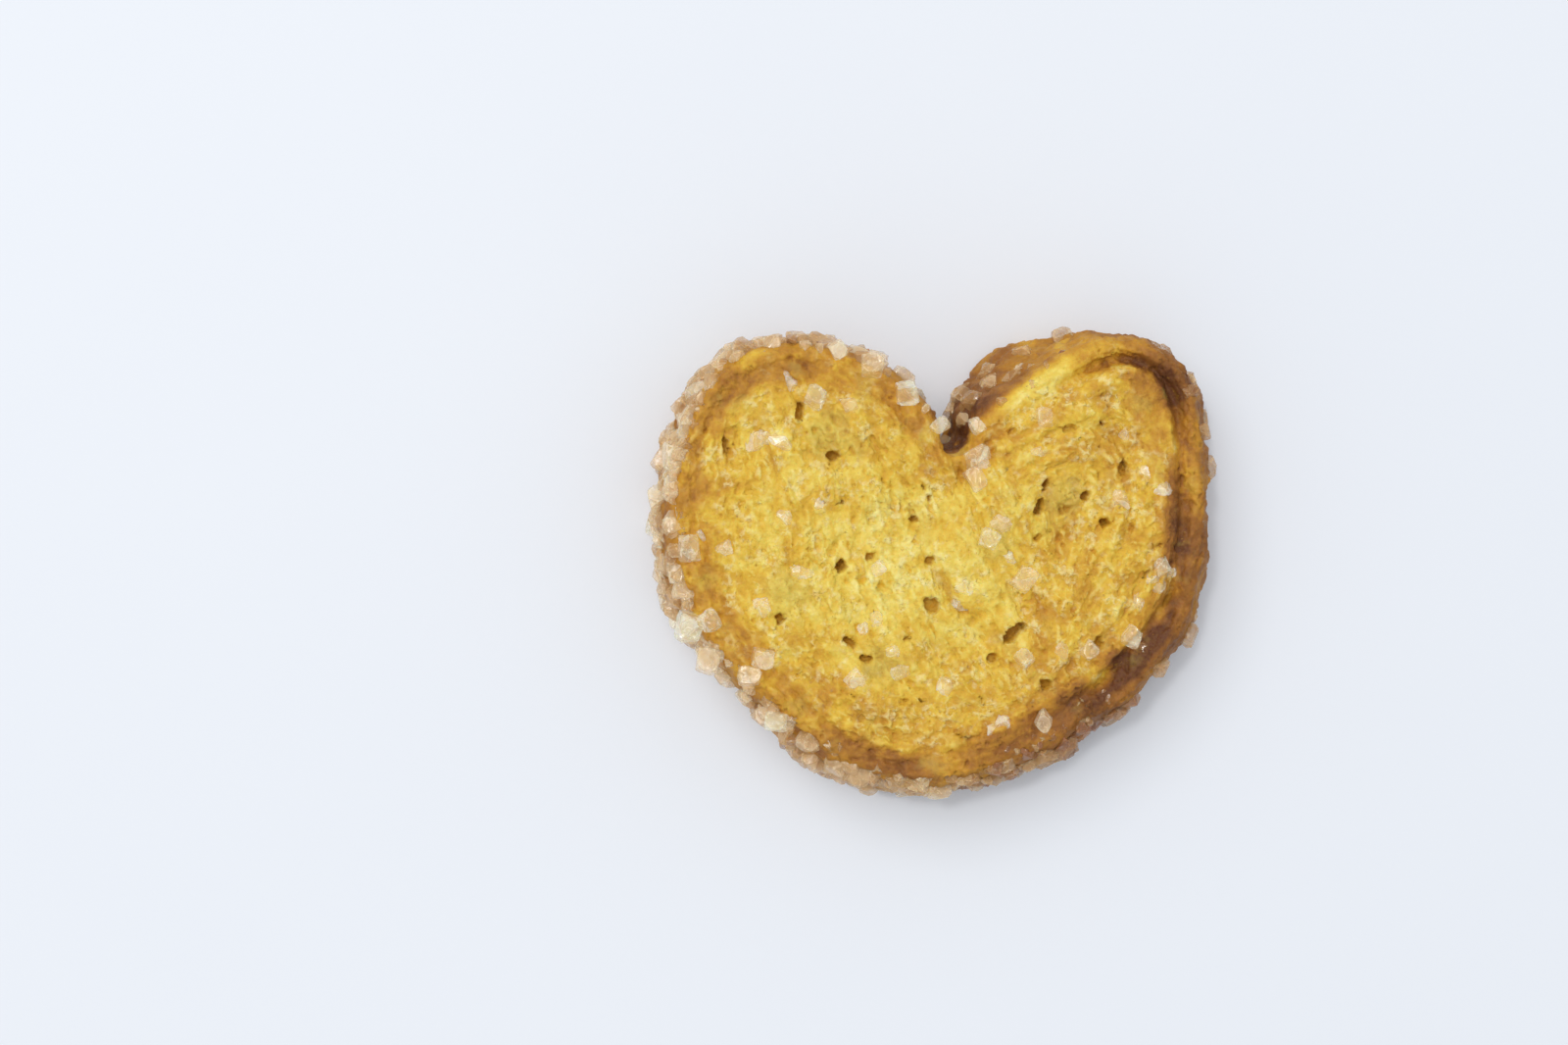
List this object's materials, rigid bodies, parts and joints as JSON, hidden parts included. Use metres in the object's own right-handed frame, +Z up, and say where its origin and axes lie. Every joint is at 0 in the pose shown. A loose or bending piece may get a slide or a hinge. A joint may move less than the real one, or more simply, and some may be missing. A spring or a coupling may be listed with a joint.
{
  "type": "palmier pastry",
  "caption": "Heart-shaped slice of rolled puff pastry, two lobes with a notch between them, flaky cut face and coarse sugar baked on.",
  "frame": {"origin": "middle of the footprint, on the sole that the slice lies on", "axes": "+Z up out of the cut face that shows, +Y towards the notch of the heart, +X across both lobes"},
  "size_m": [0.058, 0.0486, 0.0148],
  "materials": {
    "pastry": "baked puff pastry, yellow crumb on the cut face, golden to dark brown caramelised crust round the wall",
    "sugar": "coarse sugar crystals, cloudy and faintly amber, part melted into the crust"
  },
  "bodies": {
    "root": {"palmier": "pastry"}
  },
  "joints": []
}
